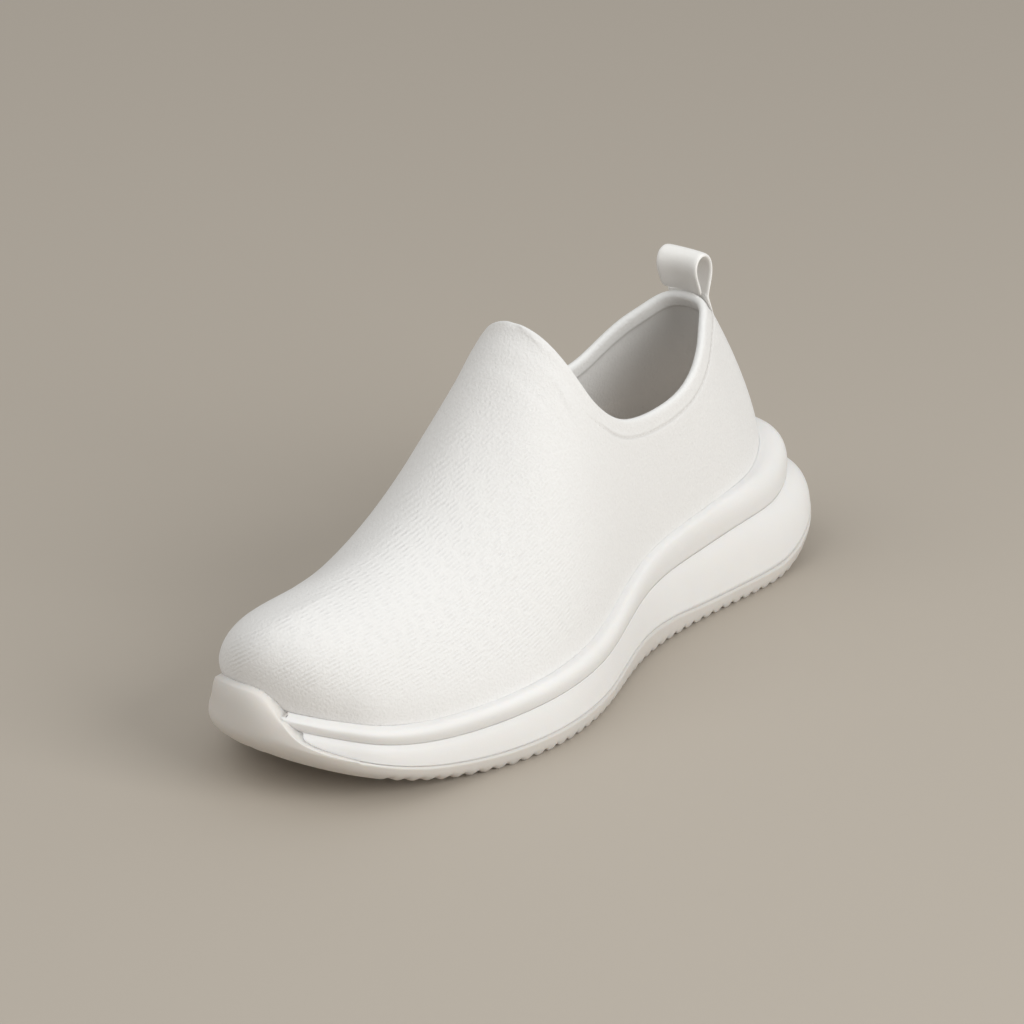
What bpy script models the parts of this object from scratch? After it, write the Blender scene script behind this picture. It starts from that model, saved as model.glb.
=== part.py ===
"""Slip-on sneaker, left shoe: a knitted upper on two foam tiers and a ribbed rubber outsole with a toe guard.

Lengths are in metres. +X points to the toe, +Y to the outer side of the foot and +Z up. The shapes are
worked out from the back of the heel on the floor, and the finished pieces are then set with the middle of
the heel's flat spot at the origin.
"""

import math

import bmesh
import bpy
import numpy as np

# Sole
LENGTH = 0.300
HEEL_WIDTH = 0.083
WAIST_WIDTH = 0.074
BALL_WIDTH = 0.107
OUTSOLE_EDGE = 0.0067
HEEL_LIFT = 0.018
ARCH_RISE = 0.0005
ARCH_EXTRA = 0.0028
TOE_SPRING = 0.021
HEEL_FLAT = (0.155, 0.265)
BALL_FLAT = (0.575, 0.735)
EDGE_ROUND = 0.008
SHOULDER_INSET = 0.25
SHOULDER_RISE = 0.35
OUTSOLE_STEP = 0.004
RIB_PITCH = 0.0057
RIB_DEPTH = 0.0017
RIB_RUN = (0.040, 0.915)
LOWER_TIER = 0.0240
UPPER_TIER = 0.0200
CREASE_INSET = 0.0110
SEAM_INSET = 0.0170
BED_RISE = 0.0280
FOAM_STEP = 0.0005
MIDSOLE_RINGS = 6
MIDSOLE_TURN = 72
ROLL_RINGS = 5
ROLL_SWELL = 0.0015
ROLL_SWELL_END = 1.1
CUP_RINGS = 3
RIM_LIP = 0.0015
INSOLE_THICK = 0.0040
INSOLE_ROOM = 0.0015

# Toe guard
GUARD_WALL = 0.0018
GUARD_TOP = 0.0437
GUARD_FROM = 0.865
GUARD_EASE = 0.25
GUARD_INNER = 0.050
GUARD_POINTS = 5
GUARD_SWELL = 0.60

# Upper
KNIT = 0.0024
BAND_EXTRA = 0.0005
COLLAR_BAND = 0.0075
BAND_EASE = 0.08
HEEL_HEIGHT = 0.1100
COLLAR_LOW = 0.0895
INSTEP_HEIGHT = 0.1340

# Pull loop
LOOP_WIDTH = 0.0180
LOOP_THICK = 0.0016
LOOP_RISE = 0.0155
LOOP_DEPTH = 0.0172
LOOP_BACK = 0.56
LOOP_TAIL = 0.0110
LOOP_SEAT = 0.0012
HEEL_SLANT = 1.15
LOOP_REACH = 0.24
LOOP_COLUMNS = 7
TAIL_ROWS = 5
BOW_ROWS = 15

GAP = 0.0003
FOOT_LIFT = 0.0006

# Outline of the sole, heel to toe. Places are shares of LENGTH, half widths are shares of the named width.
OUTLINE = (
    # place, width, outer, inner
    (0.024, "heel", 0.350, 0.335),
    (0.105, "heel", 0.476, 0.500),
    (0.250, "heel", 0.464, 0.470),
    (0.430, "waist", 0.544, 0.500),
    (0.570, "ball", 0.492, 0.412),
    (0.690, "ball", 0.513, 0.490),
    (0.800, "ball", 0.437, 0.475),
    (0.905, "ball", 0.337, 0.397),
    (0.972, "ball", 0.180, 0.264),
)
HEEL_TIP = (0.0, "heel", 0.020)
TOE_TIP = (1.0, "ball", -0.060)

# Round the heel the insets turn toward one centre, so that a wide inset keeps a round corner.
HEEL_CENTRE = 0.176
HEEL_TURN = 0.50

# Side of the sole, heel to toe. Tiers, insets and bed are shares of their named sizes, the edge's rounding is
# a share of EDGE_ROUND.
SIDE = (
    # place, lower tier, upper tier, crease inset, seam inset, bed, edge
    (0.00, 0.61, 1.00, 1.00, 1.05, 0.95, 0.40),
    (0.02, 0.67, 0.94, 0.98, 1.13, 0.96, 0.36),
    (0.05, 0.76, 0.86, 0.92, 1.08, 0.97, 0.31),
    (0.09, 0.86, 0.76, 0.78, 0.90, 0.99, 0.25),
    (0.13, 0.92, 0.70, 0.62, 0.71, 1.00, 0.22),
    (0.28, 0.86, 0.71, 0.34, 0.28, 0.98, 0.22),
    (0.43, 0.66, 0.62, 0.12, 0.12, 0.80, 0.22),
    (0.58, 0.55, 0.45, 0.12, 0.18, 0.62, 0.22),
    (0.75, 0.45, 0.38, 0.22, 0.20, 0.51, 0.30),
    (0.87, 0.33, 0.32, 0.23, 0.24, 0.42, 0.60),
    (1.00, 0.20, 0.22, 0.27, 0.26, 0.33, 1.00),
)

# Top edge of the toe guard, from where it starts to the tip of the toe, as shares of the way and of its rise.
GUARD = (
    # way, rise
    (0.00, 0.000),
    (0.26, 0.035),
    (0.41, 0.070),
    (0.50, 0.120),
    (0.58, 0.215),
    (0.65, 0.370),
    (0.72, 0.610),
    (0.79, 0.850),
    (0.86, 0.975),
    (1.00, 1.000),
)

# Last, heel to toe: one row for each line that climbs from the sole's edge to the last's top line. The way is
# a share of the sole's edge, top place and handles are shares of LENGTH, heights are shares of INSTEP_HEIGHT.
# The fan is the angle at the top line between the line and the way to the toe, and the lean is an angle
# outward at the foot.
LAST = (
    # way, top place, top height, fan, top handle, foot handle, lean
    (0.00, 0.341, 1.185, 180, 0.090, 0.087, 11),
    (0.05, 0.344, 1.185, 171, 0.090, 0.089, 7),
    (0.11, 0.348, 1.185, 155, 0.084, 0.083, 2),
    (0.18, 0.354, 1.185, 135, 0.071, 0.072, -2),
    (0.27, 0.375, 1.185, 115, 0.067, 0.090, 2),
    (0.38, 0.435, 1.185, 95, 0.069, 0.106, 3),
    (0.50, 0.521, 0.985, 64, 0.107, 0.108, 1),
    (0.60, 0.560, 0.880, 48, 0.114, 0.083, 5),
    (0.68, 0.605, 0.758, 41, 0.111, 0.055, 7),
    (0.76, 0.674, 0.616, 41, 0.112, 0.058, 12),
    (0.84, 0.747, 0.530, 43, 0.107, 0.065, 15),
    (0.92, 0.831, 0.497, 34, 0.095, 0.088, 19),
    (1.00, 0.873, 0.493, 0, 0.095, 0.087, 16),
)

# Collar line seen from the side. Places are shares of LENGTH, rises are shares of the way from COLLAR_LOW to
# HEEL_HEIGHT behind the low point, and to INSTEP_HEIGHT in front of it.
COLLAR = (
    # place, rise
    (0.100, 0.98),
    (0.147, 1.09),
    (0.205, 0.69),
    (0.270, 0.10),
    (0.340, -0.03),
    (0.400, 0.01),
    (0.450, 0.12),
    (0.490, 0.42),
    (0.515, 0.87),
    (0.540, 1.10),
)
COLLAR_LOW_AT = 0.340

# The collar dips a little further on the inner side, about one place.
INNER_DIP = 0.0038
INNER_DIP_AT = 0.253
INNER_DIP_REACH = 0.093
INNER_DIP_FROM = 0.018

STATIONS = 44
TOE_STEP = 0.008
STATION_EASE = 0.30
PEAK_STATIONS = (-0.036, -0.024, -0.014, -0.006, 0.0, 0.012)
ROWS = 10
BAND_STEP = 0.0008


def spline(places, values, level=False):
    """Return a cubic spline through the values at the places, with ends free or, where asked, level."""
    x = np.asarray(places, float)
    y = np.asarray(values, float)
    h = np.diff(x)
    n = len(x)
    system = np.eye(n)
    right = np.zeros_like(y)
    for i in range(1, n - 1):
        system[i, i - 1:i + 2] = h[i - 1], 2 * (h[i - 1] + h[i]), h[i]
        right[i] = 6 * ((y[i + 1] - y[i]) / h[i] - (y[i] - y[i - 1]) / h[i - 1])
    if level:
        system[0, :2] = 2 * h[0], h[0]
        system[-1, -2:] = h[-1], 2 * h[-1]
        right[0] = 6 * (y[1] - y[0]) / h[0]
        right[-1] = 6 * (y[-2] - y[-1]) / h[-1]
    bend = np.linalg.solve(system, right)

    def value(at):
        at = np.clip(np.asarray(at, float), x[0], x[-1])
        i = np.clip(np.searchsorted(x, at, side="right") - 1, 0, n - 2)
        a = (x[i + 1] - at) / h[i]
        b = (at - x[i]) / h[i]
        pull = h[i] ** 2 / 6
        if y.ndim > 1:
            a, b, pull = a[..., None], b[..., None], pull[..., None]
        return a * y[i] + b * y[i + 1] + ((a ** 3 - a) * bend[i] + (b ** 3 - b) * bend[i + 1]) * pull

    return value


def column(table, index, level=False):
    """Return a spline through one column of a table, by the table's first column."""
    return spline([row[0] for row in table], [row[index] for row in table], level)


def smooth(share):
    """Ease a share from 0 to 1 with no slope at either end."""
    share = np.clip(share, 0.0, 1.0)
    return share * share * (3.0 - 2.0 * share)


WIDTHS = {"heel": HEEL_WIDTH, "waist": WAIST_WIDTH, "ball": BALL_WIDTH}


def outline():
    """Sample the sole's outline, heel tip to toe tip, for the outer side and the inner side."""
    outer = [(place * LENGTH, share * WIDTHS[width]) for place, width, share, _ in OUTLINE]
    inner = [(place * LENGTH, -share * WIDTHS[width]) for place, width, _, share in OUTLINE]
    heel = (HEEL_TIP[0] * LENGTH, HEEL_TIP[2] * WIDTHS[HEEL_TIP[1]])
    toe = (TOE_TIP[0] * LENGTH, TOE_TIP[2] * WIDTHS[TOE_TIP[1]])
    loop = [heel] + outer + [toe] + inner[::-1]
    wrap = 3
    points = np.array(loop[-wrap:] + loop + loop[:wrap + 1])
    steps = np.linalg.norm(np.diff(points, axis=0), axis=1)
    way = np.concatenate([[0.0], np.cumsum(steps)])
    curve = spline(way, points)
    tips = way[wrap], way[wrap + len(outer) + 1], way[wrap + len(loop)]
    samples = 600
    sides = []
    for start, end in ((tips[0], tips[1]), (tips[2], tips[1])):
        at = np.linspace(start, end, samples)
        p = curve(at)
        slope = np.gradient(p, at, axis=0)
        slope /= np.linalg.norm(slope, axis=1)[:, None]
        inward = np.column_stack([slope[:, 1], -slope[:, 0]])
        length = np.concatenate([[0.0], np.cumsum(np.linalg.norm(np.diff(p, axis=0), axis=1))])
        sides.append((length / length[-1], p, inward))
    return sides


SIDES = outline()


def edge(side, way):
    """Return the outline's point and inward direction on one side (0 outer, 1 inner) at a way."""
    share, points, inward = SIDES[side]
    p = np.array([np.interp(way, share, points[:, k]) for k in (0, 1)])
    n = np.array([np.interp(way, share, inward[:, k]) for k in (0, 1)])
    centre = np.array([HEEL_CENTRE * LENGTH, 0.0]) - p
    turn = 1.0 - float(smooth(way / HEEL_TURN))
    n = n * (1.0 - turn) + centre / np.linalg.norm(centre) * turn
    return p, n / np.linalg.norm(n)


def way_at(side, x):
    """Return the share of the way at which one side of the outline reaches x."""
    share, points, _ = SIDES[side]
    return float(np.interp(x, np.maximum.accumulate(points[:, 0]), share))


LOWER_SHARE = column(SIDE, 1)
UPPER_SHARE = column(SIDE, 2)
CREASE_SHARE = column(SIDE, 3)
SEAM_SHARE = column(SIDE, 4)
BED_SHARE = column(SIDE, 5)
EDGE_SHARE = column(SIDE, 6)
GUARD_SHARE = column(GUARD, 1)


def arch(x):
    """Share of the arch's rise, between the heel's flat spot and the ball's."""
    start, end = HEEL_FLAT[1] * LENGTH, BALL_FLAT[0] * LENGTH
    return math.sin(math.pi * min(1.0, max(0.0, (x - start) / (end - start)))) ** 2


def underside(x):
    """Height of the outsole's underside, at the lands of its ribs."""
    heel_end, toe_start = HEEL_FLAT[0] * LENGTH, BALL_FLAT[1] * LENGTH
    if x < heel_end:
        return HEEL_LIFT * ((heel_end - x) / heel_end) ** 2
    if x > toe_start:
        return TOE_SPRING * ((x - toe_start) / (LENGTH - toe_start)) ** 2
    return ARCH_RISE * arch(x)


def outsole_top(x):
    """Height of the outsole's top face."""
    return underside(x) + OUTSOLE_EDGE + ARCH_EXTRA * arch(x)


def crease_height(x):
    """Height of the crease between the foam tiers."""
    return outsole_top(x) + LOWER_TIER * float(LOWER_SHARE(x / LENGTH))


def seam_height(x):
    """Height of the upper tier's top, where the upper comes out."""
    return crease_height(x) + UPPER_TIER * float(UPPER_SHARE(x / LENGTH))


def bed_height(x):
    """Height of the bed inside the foam cup."""
    return outsole_top(x) + BED_RISE * float(BED_SHARE(x / LENGTH))


def guard_way(side, way):
    """Share of the way through the toe guard, 0 where it starts. It runs further back on the inner side."""
    ahead = way - GUARD_FROM + side * GUARD_INNER
    return min(1.0, max(0.0, ahead / (1.0 - GUARD_FROM)))


def recess(side, way):
    """How far everything behind the toe guard steps back to leave it room."""
    return (GUARD_WALL + GAP) * float(smooth(guard_way(side, way) / GUARD_EASE))


def inset_point(side, way, inset, height):
    """Return a point inset from the outline, at the height that a function gives there."""
    p, n = edge(side, way)
    x, y = p + n * inset
    return np.array([x, y, height(x) if callable(height) else height])


LAST_TOP_X = column(LAST, 1, level=True)
LAST_TOP_Z = column(LAST, 2, level=True)
LAST_FAN = column(LAST, 3)
LAST_TOP_HANDLE = column(LAST, 4, level=True)
LAST_FOOT_HANDLE = column(LAST, 5, level=True)
LAST_LEAN = column(LAST, 6, level=True)


def top_line(way):
    """Return the last's top line above a share of the sole's edge."""
    return np.array([float(LAST_TOP_X(way)) * LENGTH, 0.0, float(LAST_TOP_Z(way)) * INSTEP_HEIGHT])


def foot_inset(side, way):
    """Inset of the upper's foot from the outline."""
    p, _ = edge(side, way)
    return SEAM_INSET * float(SEAM_SHARE(p[0] / LENGTH)) + RIM_LIP + GAP + recess(side, way)


def meridian(side, way):
    """Return the four control points of the line that climbs the last from one place on the sole's edge."""
    foot = inset_point(side, way, foot_inset(side, way), lambda x: bed_height(x) + FOOT_LIFT)
    _, inward = edge(side, way)
    lean = math.radians(float(LAST_LEAN(way)))
    up = np.array([-inward[0] * math.sin(lean), -inward[1] * math.sin(lean), math.cos(lean)])
    top = top_line(way)
    step = 0.002
    along = top_line(min(1.0, way + step)) - top_line(max(0.0, way - step))
    along /= np.linalg.norm(along)
    fan = math.radians(float(LAST_FAN(way)))
    across = np.array([0.0, 1.0 if side == 0 else -1.0, 0.0])
    out = along * math.cos(fan) + across * math.sin(fan)
    return np.array([
        foot,
        foot + up * float(LAST_FOOT_HANDLE(way)) * LENGTH,
        top + out * float(LAST_TOP_HANDLE(way)) * LENGTH,
        top,
    ])


def bezier(points, share):
    """Return the point at a share along a cubic curve."""
    a, b = 1.0 - share, share
    return a ** 3 * points[0] + 3 * a * a * b * points[1] + 3 * a * b * b * points[2] + b ** 3 * points[3]


def collar_rise(row):
    """Height of one row of the collar table."""
    full = HEEL_HEIGHT if row[0] < COLLAR_LOW_AT else INSTEP_HEIGHT
    return COLLAR_LOW + row[1] * (full - COLLAR_LOW)


COLLAR_LINE = spline([row[0] * LENGTH for row in COLLAR], [collar_rise(row) for row in COLLAR])


def first_share(points, reached):
    """Return the first share along a curve at which a test becomes true, or 1."""
    step = 0.02
    halvings = 30
    low = 0.0
    while low < 1.0 and not reached(bezier(points, low + step)):
        low += step
    if low >= 1.0:
        return 1.0
    high = low + step
    for _ in range(halvings):
        middle = (low + high) / 2
        if reached(bezier(points, middle)):
            high = middle
        else:
            low = middle
    return min(high, 1.0)


def inner_dip(point):
    """How far the collar dips further at a point of the inner side."""
    away = (point[0] / LENGTH - INNER_DIP_AT) / INNER_DIP_REACH
    return INNER_DIP * math.exp(-away * away) * float(smooth(-point[1] / INNER_DIP_FROM))


def above_collar(point):
    """Tell whether a point of the last lies above the collar line."""
    return point[0] < COLLAR[-1][0] * LENGTH and point[2] >= float(COLLAR_LINE(point[0])) - inner_dip(point)


def find_peak():
    """Return the share of the way whose top line point is the peak of the collar's front."""
    low, high = 0.3, 0.9
    halvings = 40
    for _ in range(halvings):
        middle = (low + high) / 2
        if above_collar(top_line(middle)):
            low = middle
        else:
            high = middle
    return high


PEAK = find_peak()


def wall_line(side, way):
    """Return the upper's outer line at one place as closely spaced points, with the length to each."""
    points = meridian(side, way)
    end = first_share(points, above_collar) if way < PEAK else 1.0
    fine = 200
    dense = np.array([bezier(points, end * k / fine) for k in range(fine + 1)])
    length = np.concatenate([[0.0], np.cumsum(np.linalg.norm(np.diff(dense, axis=0), axis=1))])
    return dense, length


def at_length(dense, length, where):
    """Return the point at a length along a sampled line."""
    return np.array([np.interp(where, length, dense[:, k]) for k in range(3)])


def stations(count=STATIONS):
    """Return shares of the way from heel tip to toe tip, closer together near both tips."""
    even = np.linspace(0.0, 1.0, count)
    return even - STATION_EASE * np.sin(2 * math.pi * even) / (2 * math.pi)


def around(ways):
    """Return (side, way) pairs once round the shoe: outer side to the toe, inner side back."""
    return [(0, way) for way in ways] + [(1, way) for way in ways[-2:0:-1]]


# Blender objects
NAME = "slip_on_sneaker"


def clear_scene():
    """Remove every object."""
    for item in list(bpy.data.objects):
        bpy.data.objects.remove(item, do_unlink=True)


def material(name, colour, roughness):
    """Make a plain surface."""
    made = bpy.data.materials.new(name)
    made.use_nodes = True
    shader = made.node_tree.nodes["Principled BSDF"]
    shader.inputs["Base Color"].default_value = (*colour, 1.0)
    shader.inputs["Roughness"].default_value = roughness
    shader.inputs["Metallic"].default_value = 0.0
    return made


def add_object(name, mesh, surface, collection):
    """Put a mesh in the scene, with the heel's flat spot over the origin."""
    made = bpy.data.objects.new(name, mesh)
    made.location.x = -LENGTH * sum(HEEL_FLAT) / 2
    mesh.materials.append(surface)
    collection.objects.link(made)
    return made


def ring_mesh(name, rings, closed):
    """Skin a stack of rings, and close the two ends with rungs from the outer side to the inner side."""
    count = len(rings[0])
    half = count // 2
    build = bmesh.new()
    rows = [[build.verts.new(p) for p in ring] for ring in rings]
    for low, high in zip(rows, rows[1:]):
        for i in range(count):
            j = (i + 1) % count
            build.faces.new((low[i], low[j], high[j], high[i]))
    if closed:
        for row in (rows[0], rows[-1]):
            for i in range(half):
                corners = [row[i], row[i + 1], row[(count - i - 1) % count], row[(count - i) % count]]
                build.faces.new(list(dict.fromkeys(corners)))
    bmesh.ops.remove_doubles(build, verts=build.verts, dist=0.000001)
    bmesh.ops.recalc_face_normals(build, faces=build.faces)
    mesh = bpy.data.meshes.new(name)
    build.to_mesh(mesh)
    build.free()
    return mesh


def rib_stations():
    """Return x places of the outsole's ring with the depth of the groove there, heel to toe."""
    start, end = (share * LENGTH for share in RIB_RUN)
    middle = LENGTH * sum(HEEL_FLAT) / 2
    before = math.floor((middle - start) / RIB_PITCH)
    after = math.floor((end - middle) / RIB_PITCH)
    land = 0.5 * RIB_PITCH
    places = []
    for k in range(-before, after + 1):
        centre = middle + k * RIB_PITCH
        places += [(centre - land / 2, 0.0), (centre + land / 2, 0.0)]
        if k < after:
            places.append((centre + RIB_PITCH / 2, RIB_DEPTH))
    return places


def outsole_ways():
    """Return the outsole's stations as (way on the outer side, way on the inner side, groove)."""
    ribs = rib_stations()
    ways = [(way_at(0, x), way_at(1, x), groove) for x, groove in ribs]
    first, last = ways[0], ways[-1]
    lead = round(ribs[0][0] / OUTSOLE_STEP)
    heel = [(first[0] * k / lead, first[1] * k / lead, 0.0) for k in range(lead)]
    start = max(last[0], last[1])
    steps = round((1.0 - start) / TOE_STEP)
    toe = [(way, way, 0.0) for way in np.linspace(start, 1.0, steps + 1)[1:]]
    return heel + ways + toe


def guard_lines(side, way):
    """Return the toe guard's outer and inner line at one place, both from the outsole's top edge up."""
    share = guard_way(side, way)
    base = inset_point(side, way, 0.0, outsole_top)
    rise = float(GUARD_SHARE(share)) if share > 0.0 else 0.0
    full = GUARD_TOP - outsole_top(LENGTH)
    if rise * full < GAP:
        return [base] * GUARD_POINTS, [base] * GUARD_POINTS
    start, inward = edge(side, way)
    wall = recess(side, way) - GAP * float(smooth(share / GUARD_EASE))
    foot = inset_point(side, way, wall, outsole_top)
    height = foot[2] + rise * full
    dense, _ = wall_line(side, way)
    upper = dense[np.argmax(dense[:, 2] >= height)]
    behind = (upper[:2] - start) @ inward - GAP
    top = inset_point(side, way, wall + float(smooth(rise)) * rise * (behind - wall), height)
    swell = np.array([*foot[:2], foot[2] + GUARD_SWELL * (height - foot[2])])
    inner = [
        (1 - b) ** 2 * foot + 2 * (1 - b) * b * swell + b * b * top
        for b in np.linspace(0.0, 1.0, GUARD_POINTS)
    ]
    outer = [point - np.array([*inward, 0.0]) * wall for point in inner]
    return outer, inner


def make_outsole(surface, collection):
    """Outsole with its ribs, and the toe guard raised from its edge."""
    table = outsole_ways()
    places = [(0, a, g) for a, _, g in table] + [(1, b, g) for _, b, g in table[-2:0:-1]]
    rings = [[] for _ in range(2 + 2 * GUARD_POINTS)]
    for side, way, groove in places:
        p, _ = edge(side, way)
        rounding = EDGE_ROUND * float(EDGE_SHARE(p[0] / LENGTH))
        bottom = inset_point(side, way, rounding, lambda x: underside(x) + groove)
        shoulder = inset_point(
            side, way, rounding * SHOULDER_INSET, lambda x: underside(x) + SHOULDER_RISE * OUTSOLE_EDGE
        )
        outer, inner = guard_lines(side, way)
        for ring, point in zip(rings, [bottom, shoulder] + outer + inner[::-1]):
            ring.append(point)
    return add_object("outsole", ring_mesh("outsole", rings, True), surface, collection)


def make_midsole(surface, collection):
    """Lower foam tier, rounded out from the outsole and in again to the crease."""
    rings = [[] for _ in range(MIDSOLE_RINGS)]
    turn = math.radians(MIDSOLE_TURN)
    for side, way in around(stations()):
        p, _ = edge(side, way)
        back = recess(side, way) + FOAM_STEP
        inset = CREASE_INSET * float(CREASE_SHARE(p[0] / LENGTH)) + recess(side, way)
        for k, ring in enumerate(rings):
            angle = turn * k / (MIDSOLE_RINGS - 1)
            rise = math.sin(angle) / math.sin(turn)
            draw = (1 - math.cos(angle)) / (1 - math.cos(turn))

            def height(x, rise=rise):
                low = outsole_top(x) + GAP
                return low + rise * (crease_height(x) - low)

            ring.append(inset_point(side, way, back + draw * (inset - back), height))
    return add_object("midsole", ring_mesh("midsole", rings, True), surface, collection)


def make_foam_rim(surface, collection):
    """Upper foam tier: a roll outside, and inside a cup that follows the upper's foot."""
    rings = [[] for _ in range(ROLL_RINGS + CUP_RINGS)]
    lower_part, highest = 60, 0.9
    for side, way in around(stations()):
        p, inward = edge(side, way)
        crease = CREASE_INSET * float(CREASE_SHARE(p[0] / LENGTH)) + recess(side, way)
        seam = SEAM_INSET * float(SEAM_SHARE(p[0] / LENGTH)) + recess(side, way)
        for k in range(ROLL_RINGS):
            share = k / (ROLL_RINGS - 1)
            swell = ROLL_SWELL * math.sin(math.pi * min(1.0, share * ROLL_SWELL_END))

            def height(x, share=share):
                low = crease_height(x) + GAP
                return low + math.sin(share * math.pi / 2) * (seam_height(x) - low)

            inset = crease + (1 - math.cos(share * math.pi / 2)) * (seam - crease) - swell
            rings[k].append(inset_point(side, way, inset, height))
        dense, length = wall_line(side, way)
        inward = np.array([*inward, 0.0])
        rim = rings[ROLL_RINGS - 1][-1][2]
        top = float(np.interp(rim, dense[:lower_part, 2], length[:lower_part]))
        for k in range(CUP_RINGS):
            where = min(top, highest * length[-1]) * (1 - k / (CUP_RINGS - 1))
            point = at_length(dense, length, where) - inward * GAP
            if k == 0:
                point[2] = rim
            if k == CUP_RINGS - 1:
                point[2] = bed_height(point[0])
            rings[ROLL_RINGS + k].append(point)
    return add_object("foam_rim", ring_mesh("foam_rim", rings, True), surface, collection)


def upper_ways():
    """Return the upper's stations: the shared ones, and closer ones about the peak of the collar."""
    close = [PEAK + shift for shift in PEAK_STATIONS]
    apart = 0.006
    shared = [way for way in stations() if all(abs(way - other) > apart for other in close)]
    return sorted(shared + close)


def make_upper(surface, collection):
    """Knitted upper: an open skin on the last with a raised collar band, given its wall inward."""
    places = around(upper_ways())
    columns, band = [], []
    for side, way in places:
        dense, length = wall_line(side, way)
        full = length[-1]
        depth = COLLAR_BAND if way < PEAK else 0.0
        rises = [(full - depth) * k / ROWS for k in range(ROWS + 1)]
        rises += [full - depth + min(depth, BAND_STEP), full - depth / 2, full]
        columns.append([at_length(dense, length, rise) for rise in rises])
        band.append(float(smooth((PEAK - way) / BAND_EASE)))
    rows = ROWS + 4
    build = bmesh.new()
    groups = build.verts.layers.deform.verify()
    grid = [[build.verts.new(line[k]) for line in columns] for k in range(rows)]
    count = len(places)
    for k in range(rows - 1):
        for i in range(count):
            j = (i + 1) % count
            corners = grid[k][i], grid[k][j], grid[k + 1][j], grid[k + 1][i]
            flat = all((high.co - low.co).length < GAP / 100 for low, high in (corners[::3], corners[1:3]))
            if not flat:
                build.faces.new(corners)
    build.normal_update()
    raised = [v for row in grid[ROWS + 1:] for v in row]
    shares = band * (rows - ROWS - 1)
    for v, share in zip(raised, shares):
        v.co += v.normal * BAND_EXTRA * share
    thin = KNIT / (KNIT + 2 * BAND_EXTRA)
    for row in grid[:ROWS + 1]:
        for v in row:
            v[groups][0] = thin
    for v, share in zip(raised, shares):
        v[groups][0] = thin + (1 - thin) * share
    bmesh.ops.delete(build, geom=[v for v in build.verts if not v.link_faces], context="VERTS")
    bmesh.ops.remove_doubles(build, verts=build.verts, dist=GAP / 100)
    bmesh.ops.recalc_face_normals(build, faces=build.faces)
    mesh = bpy.data.meshes.new("upper")
    build.to_mesh(mesh)
    build.free()
    made = add_object("upper", mesh, surface, collection)
    made.vertex_groups.new(name="wall")
    wall = made.modifiers.new("wall", "SOLIDIFY")
    wall.thickness = KNIT + 2 * BAND_EXTRA
    wall.offset = -1.0
    wall.use_even_offset = True
    wall.use_rim = True
    wall.vertex_group = "wall"
    return made


def make_insole(surface, collection):
    """Insole: a thin plate on the foam bed, inside the upper."""
    rings = [[], []]
    for side, way in around(stations()):
        dense, _ = wall_line(side, way)
        _, inward = edge(side, way)
        for ring, rise in zip(rings, (0.0, INSOLE_THICK)):
            beside = dense[np.argmax(dense[:, 2] >= dense[0][2] + rise)]
            x, y = beside[:2] + inward * (KNIT + INSOLE_ROOM)
            ring.append((x, y, bed_height(x) + GAP + rise))
    return add_object("insole", ring_mesh("insole", rings, True), surface, collection)


def heel_surface(lines, y, z):
    """Return the x of the upper's outside at the back of the heel, at one y and z."""
    found = []
    for line in lines[0 if y >= 0 else 1]:
        found.append([np.interp(z, line[:, 2], line[:, k]) for k in (0, 1)])
    found = np.array(found)
    return float(np.interp(abs(y), np.abs(found[:, 1]), found[:, 0]))


def make_pull_loop(surface, collection):
    """Pull loop: webbing sewn to the outside of the heel, standing over the collar, folded back onto it."""
    count = 13
    ways = np.linspace(0.0, LOOP_REACH, count)
    lines = [[wall_line(side, way)[0] for way in ways] for side in (0, 1)]
    rim = lines[0][0][-1]
    stand = (BAND_EXTRA + GAP + LOOP_THICK / 2) * HEEL_SLANT
    front = stand + KNIT / 2
    tail = np.linspace(rim[2] - LOOP_TAIL, rim[2] - LOOP_SEAT, TAIL_ROWS)
    bow = np.linspace(0.0, 1.0, BOW_ROWS)
    climb = 0.75
    handle = LOOP_RISE / climb
    build = bmesh.new()
    rows = []
    for y in np.linspace(-LOOP_WIDTH / 2, LOOP_WIDTH / 2, LOOP_COLUMNS):
        row = [(heel_surface(lines, y, z) - stand, y, z) for z in tail]
        start, middle = row[-1][0], heel_surface(lines, 0.0, tail[-1]) - stand
        curve = [
            np.array([start, y, tail[-1]]),
            np.array([middle - LOOP_DEPTH * LOOP_BACK, y, rim[2] + handle]),
            np.array([middle + front + LOOP_DEPTH, y, rim[2] + handle]),
            np.array([start + front, y, rim[2] + LOOP_SEAT]),
        ]
        row += [tuple(bezier(curve, share)) for share in bow[1:]]
        rows.append([build.verts.new(point) for point in row])
    for low, high in zip(rows, rows[1:]):
        for i in range(len(low) - 1):
            build.faces.new((low[i], high[i], high[i + 1], low[i + 1]))
    mesh = bpy.data.meshes.new("pull_loop")
    build.to_mesh(mesh)
    build.free()
    made = add_object("pull_loop", mesh, surface, collection)
    wall = made.modifiers.new("wall", "SOLIDIFY")
    wall.thickness = LOOP_THICK
    wall.offset = 0.0
    wall.use_even_offset = True
    wall.use_rim = True
    return made


def main():
    """Build the shoe."""
    clear_scene()
    pieces = bpy.data.collections.new(NAME)
    bpy.context.scene.collection.children.link(pieces)
    make_outsole(material("rubber", (0.78, 0.74, 0.70), 0.45), pieces)
    make_midsole(material("foam", (0.86, 0.85, 0.83), 0.60), pieces)
    make_foam_rim(material("foam_upper_tier", (0.87, 0.86, 0.84), 0.60), pieces)
    make_upper(material("knit", (0.88, 0.87, 0.85), 0.90), pieces)
    make_insole(material("insole_cloth", (0.60, 0.57, 0.54), 0.95), pieces)
    make_pull_loop(material("webbing", (0.85, 0.83, 0.80), 0.85), pieces)


main()
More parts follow.
